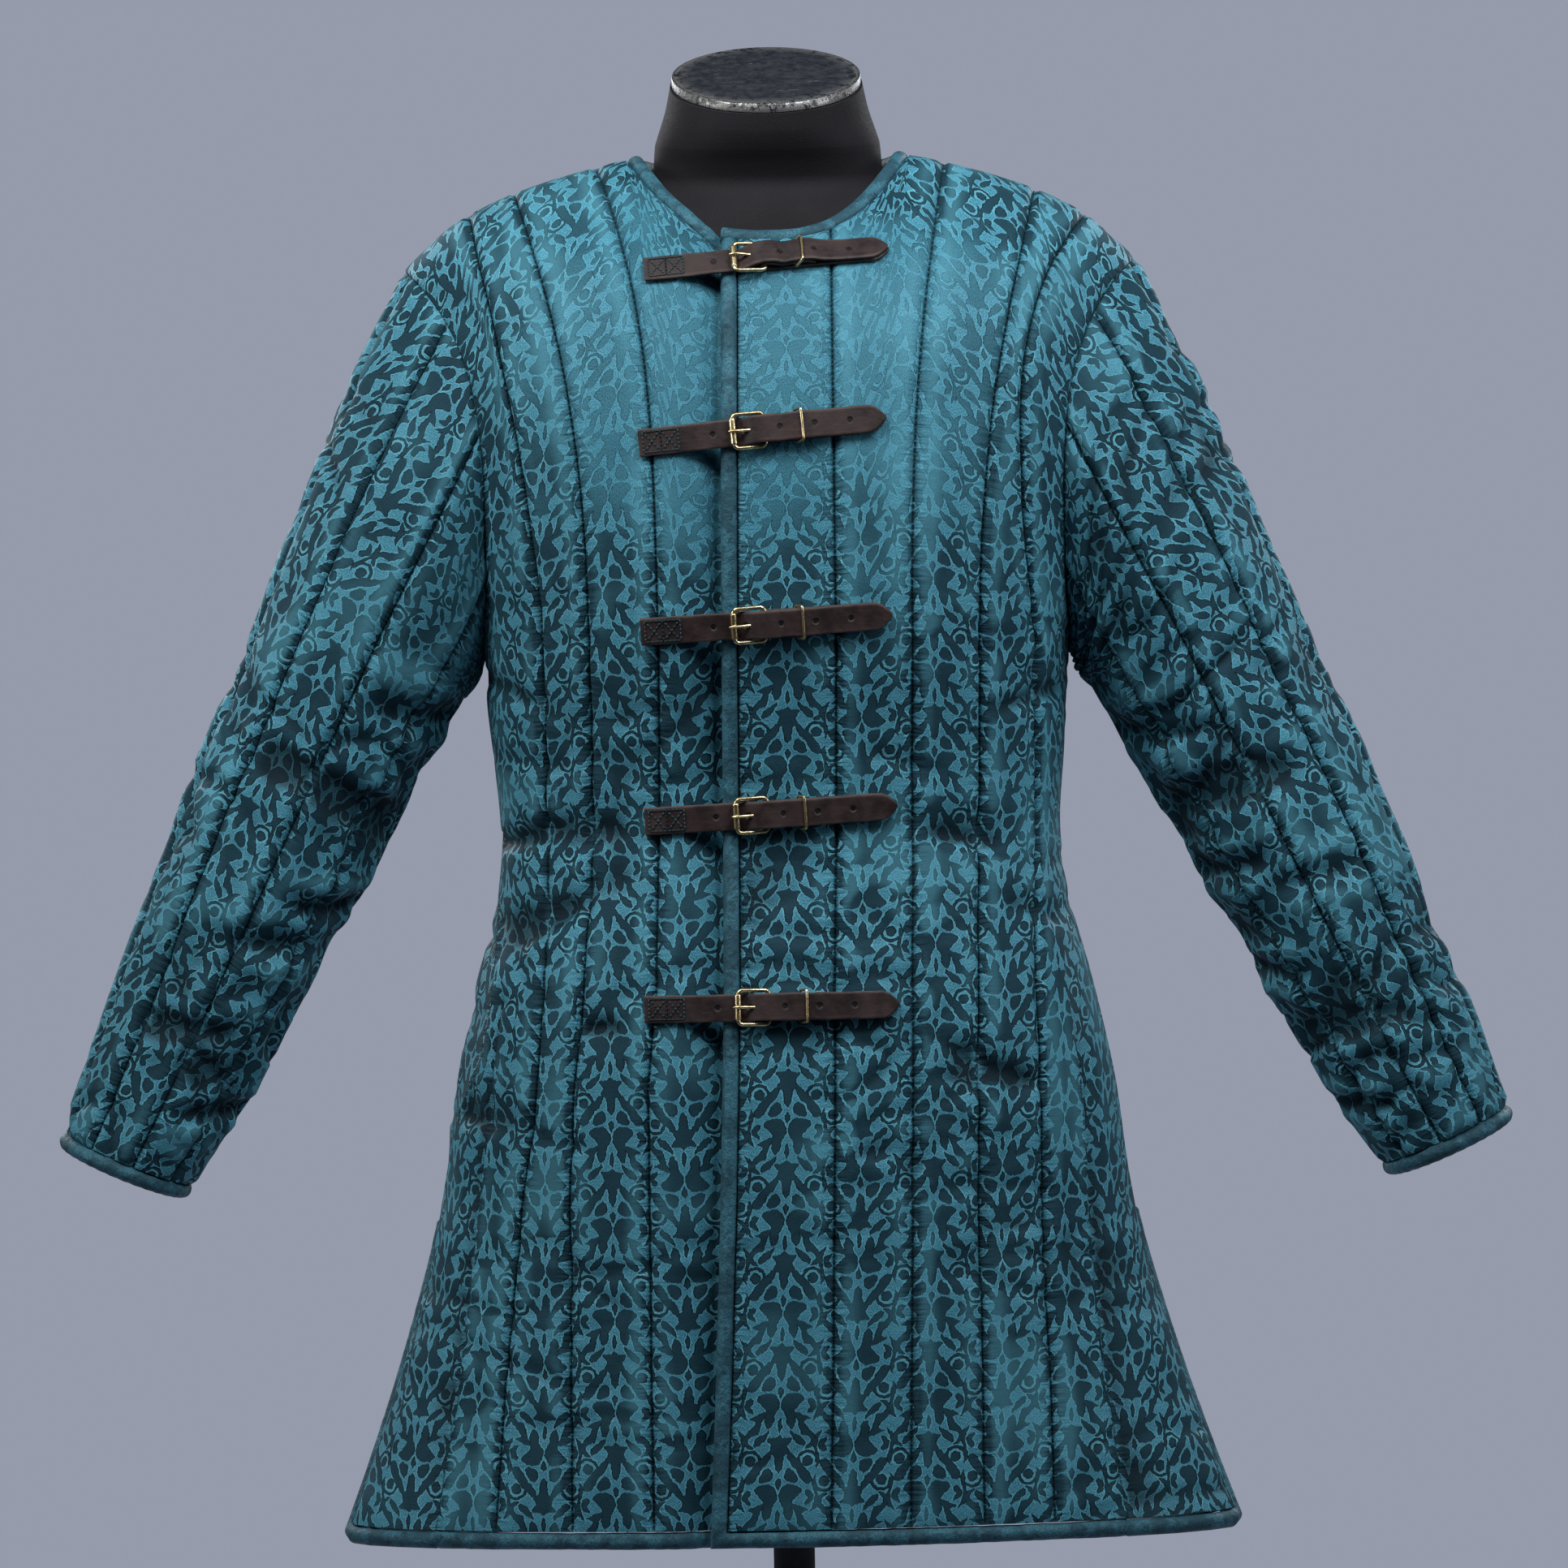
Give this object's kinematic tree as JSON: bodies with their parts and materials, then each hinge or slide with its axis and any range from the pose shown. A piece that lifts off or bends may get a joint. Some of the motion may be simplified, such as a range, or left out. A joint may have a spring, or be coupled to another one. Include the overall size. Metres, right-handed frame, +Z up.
{
  "type": "gambeson on a limbless dress form",
  "caption": "Quilted brocade gambeson with set-in sleeves, side slits and a front closed by buckled leather straps, on a limbless dress form with a pole and a round base.",
  "frame": {"origin": "centre of the stand base's underside", "axes": "+Z up along the pole, the front of the coat faces -Y, the wearer's left is +X"},
  "size_m": [0.9824, 0.3248, 1.4203],
  "materials": {
    "brocade": "satin",
    "leather": "satin",
    "brass": "polished",
    "form_cloth": "matte",
    "cap_paint": "worn gloss",
    "stand_metal": "satin"
  },
  "bodies": {
    "root": {"front_left": "brocade", "front_right": "brocade", "back_left": "brocade", "back_right": "brocade", "sleeve_left_front": "brocade", "sleeve_left_behind": "brocade", "sleeve_right_front": "brocade", "sleeve_right_behind": "brocade", "binding_front_left": "brocade", "binding_front_right": "brocade", "binding_back": "brocade", "neck_binding": "brocade", "cuff_binding_left": "brocade", "cuff_binding_right": "brocade", "tongue_strap_1": "leather", "buckle_strap_1": "leather", "buckle_1": "brass", "keeper_1": "brass", "tongue_strap_2": "leather", "buckle_strap_2": "leather", "buckle_2": "brass", "keeper_2": "brass", "tongue_strap_3": "leather", "buckle_strap_3": "leather", "buckle_3": "brass", "keeper_3": "brass", "tongue_strap_4": "leather", "buckle_strap_4": "leather", "buckle_4": "brass", "keeper_4": "brass", "tongue_strap_5": "leather", "buckle_strap_5": "leather", "buckle_5": "brass", "keeper_5": "brass", "form_torso": "form_cloth", "neck_cap": "cap_paint", "stand_pole": "stand_metal", "stand_base": "stand_metal"}
  },
  "joints": []
}
